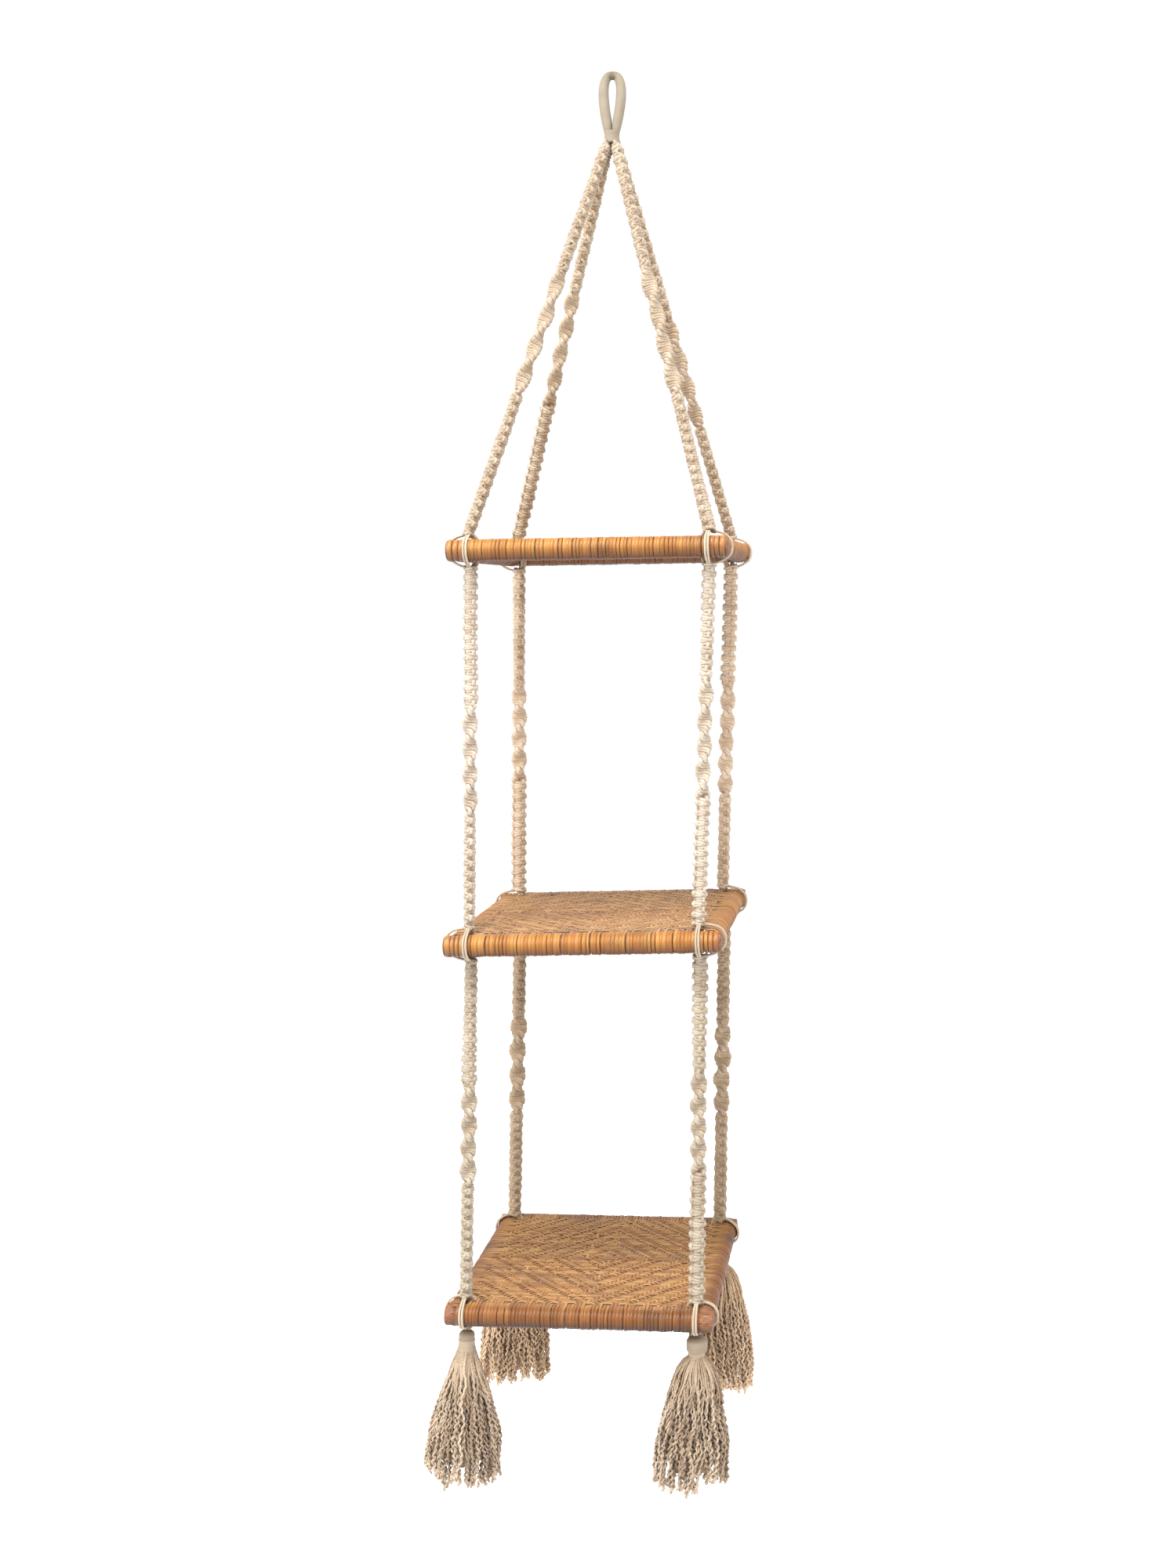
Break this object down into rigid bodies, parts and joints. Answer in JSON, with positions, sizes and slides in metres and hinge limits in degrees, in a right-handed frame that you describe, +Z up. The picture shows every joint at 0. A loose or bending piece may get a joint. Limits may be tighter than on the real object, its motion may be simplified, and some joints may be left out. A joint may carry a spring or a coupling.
{
  "type": "cord hanging shelf",
  "caption": "Hanging shelf unit: knotted cord straps drop from a whipped loop through square pole-framed shelves with woven seats to a full tassel at each lower corner.",
  "frame": {"origin": "where a hook bears, under the crown of the hanging loop", "axes": "+Z up along the hanging line; the front, with the two nearer tassels, faces -Y; X runs along the front poles"},
  "size_m": [0.366, 0.3618, 1.6525],
  "materials": {
    "knotted_cord": "matt twisted cotton cord, cream",
    "whipping": "fine matt thread wound tight, beige",
    "tassel_yarn": "matt unlaid yarn, dark beige",
    "wrapped_pole": "amber rattan peel, glossy lacquer",
    "woven_seat": "tan rattan strip, satin"
  },
  "bodies": {
    "root": {"hanging_loop": "whipping", "neck_binding": "whipping", "pole_top_front": "wrapped_pole", "pole_top_back": "wrapped_pole", "pole_top_left": "wrapped_pole", "pole_top_right": "wrapped_pole", "seat_top": "woven_seat", "crossing_top_front_left": "knotted_cord", "crossing_top_front_right": "knotted_cord", "crossing_top_back_left": "knotted_cord", "crossing_top_back_right": "knotted_cord", "pole_middle_front": "wrapped_pole", "pole_middle_back": "wrapped_pole", "pole_middle_left": "wrapped_pole", "pole_middle_right": "wrapped_pole", "seat_middle": "woven_seat", "crossing_middle_front_left": "knotted_cord", "crossing_middle_front_right": "knotted_cord", "crossing_middle_back_left": "knotted_cord", "crossing_middle_back_right": "knotted_cord", "pole_bottom_front": "wrapped_pole", "pole_bottom_back": "wrapped_pole", "pole_bottom_left": "wrapped_pole", "pole_bottom_right": "wrapped_pole", "seat_bottom": "woven_seat", "crossing_bottom_front_left": "knotted_cord", "crossing_bottom_front_right": "knotted_cord", "crossing_bottom_back_left": "knotted_cord", "crossing_bottom_back_right": "knotted_cord", "strap_upper_front_left": "knotted_cord", "strap_upper_front_right": "knotted_cord", "strap_upper_back_left": "knotted_cord", "strap_upper_back_right": "knotted_cord", "strap_middle_front_left": "knotted_cord", "strap_middle_front_right": "knotted_cord", "strap_middle_back_left": "knotted_cord", "strap_middle_back_right": "knotted_cord", "strap_lower_front_left": "knotted_cord", "strap_lower_front_right": "knotted_cord", "strap_lower_back_left": "knotted_cord", "strap_lower_back_right": "knotted_cord", "tassel_front_left": "tassel_yarn", "tassel_binding_front_left": "whipping", "tassel_front_right": "tassel_yarn", "tassel_binding_front_right": "whipping", "tassel_back_left": "tassel_yarn", "tassel_binding_back_left": "whipping", "tassel_back_right": "tassel_yarn", "tassel_binding_back_right": "whipping"}
  },
  "joints": []
}
